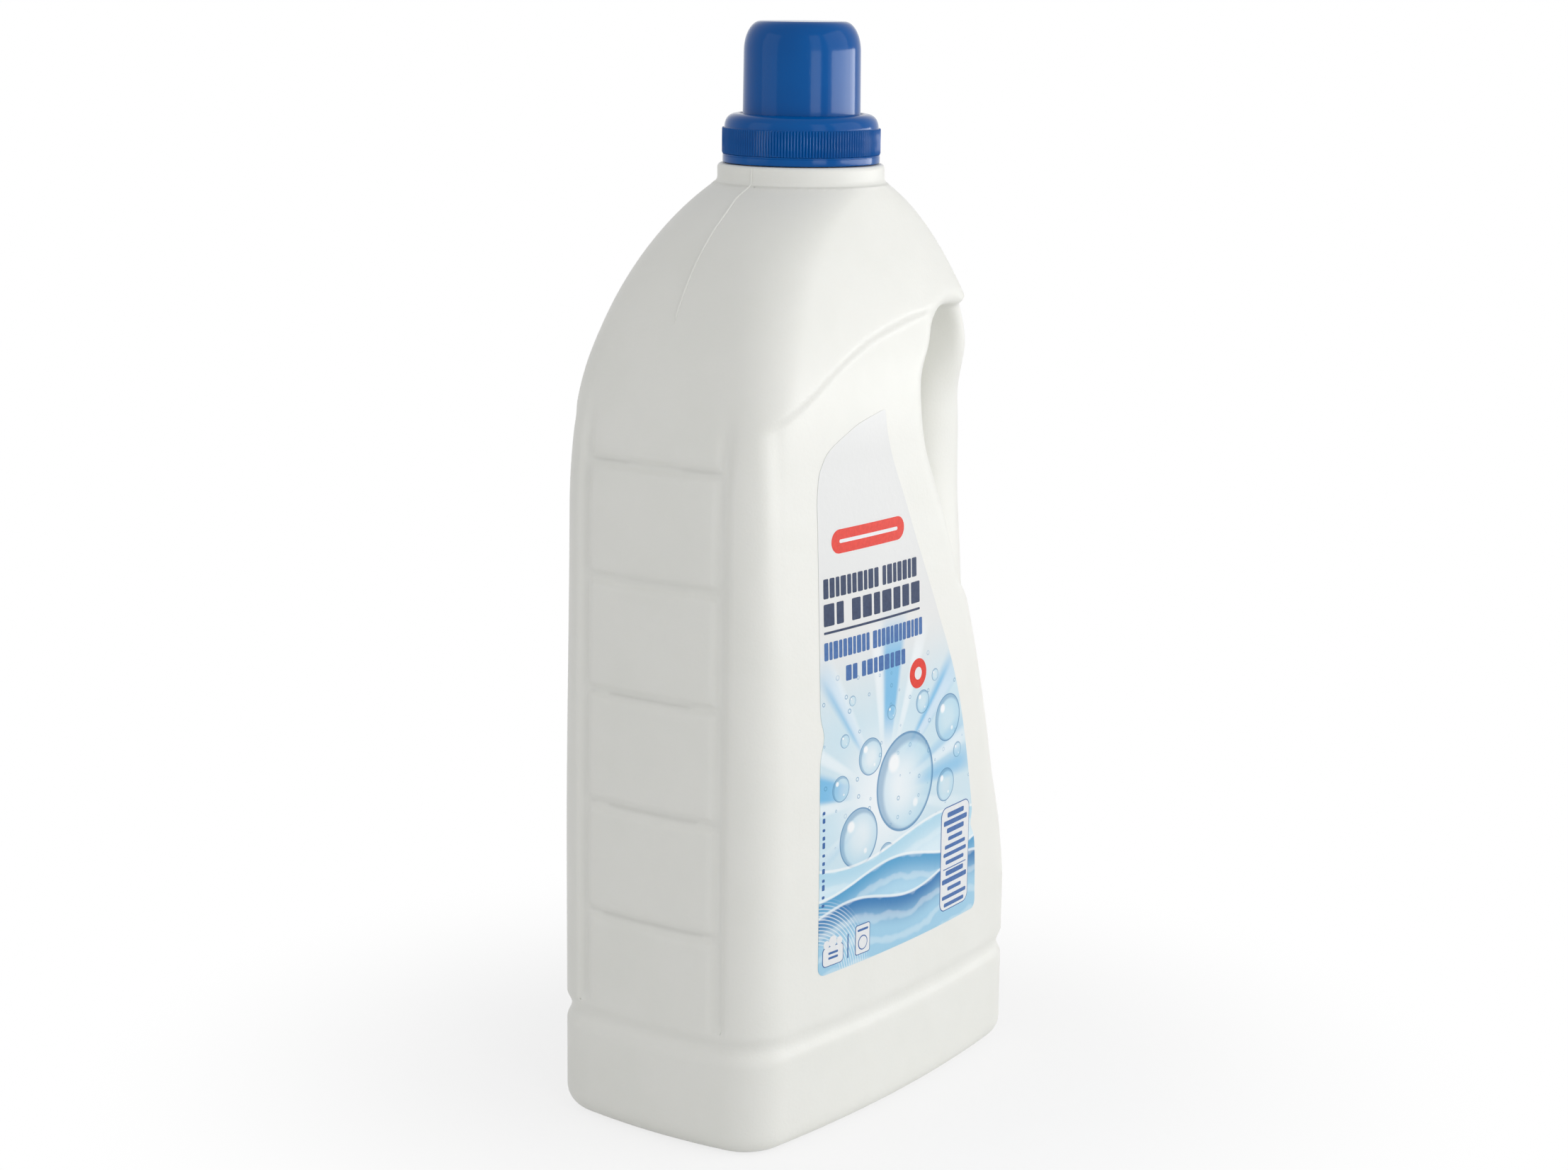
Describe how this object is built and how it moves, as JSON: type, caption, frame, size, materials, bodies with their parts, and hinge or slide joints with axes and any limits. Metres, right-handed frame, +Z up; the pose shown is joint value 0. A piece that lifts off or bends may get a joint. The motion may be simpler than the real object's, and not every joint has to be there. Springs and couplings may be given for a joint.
{
  "type": "laundry detergent bottle",
  "caption": "Tall white laundry detergent bottle with a built-in grip at its shoulder, a drain-back pourer and a blue screw-on dosing cap.",
  "frame": {"origin": "on the neck's axis, at the level that the bottle stands on", "axes": "+Z up along the neck, +X towards the grip along the wide face, -Y out of the front label"},
  "size_m": [0.1682, 0.0995, 0.37],
  "materials": {
    "bottle_shell": "satin white blow-moulded polyethylene with a fine pebble grain",
    "cap_plastic": "glossy blue injection-moulded polypropylene",
    "spout_plastic": "natural milky polypropylene",
    "seal_foam": "white foamed sealing washer",
    "label_film": "pale satin printed film",
    "print_water": "pale blue print",
    "print_heading": "navy print",
    "print_subheading": "blue print",
    "print_badge": "red print"
  },
  "bodies": {
    "bottle": {"bottle": "bottle_shell", "pour_spout": "spout_plastic", "front_label": "label_film", "back_label": "label_film", "front_print_water": "print_water", "front_print_heading": "print_heading", "front_print_subheading": "print_subheading", "front_print_badge": "print_badge"},
    "seal": {"seal_ring": "seal_foam"},
    "cap": {"dosing_cap": "cap_plastic"}
  },
  "joints": [
    {"name": "cap_lift", "type": "slide", "parent": "bottle", "child": "seal", "axis": [0, 0, 1], "range_m": [0, 0.045]},
    {"name": "cap_turn", "type": "hinge", "parent": "seal", "child": "cap", "pos_m": [0, 0, 0.335], "axis": [0, 0, 1], "range_deg": [0, 1620]}
  ],
  "couplings": [
    {"joint": "cap_lift", "follows": "cap_turn", "m_per_rad": 0.0015915}
  ]
}
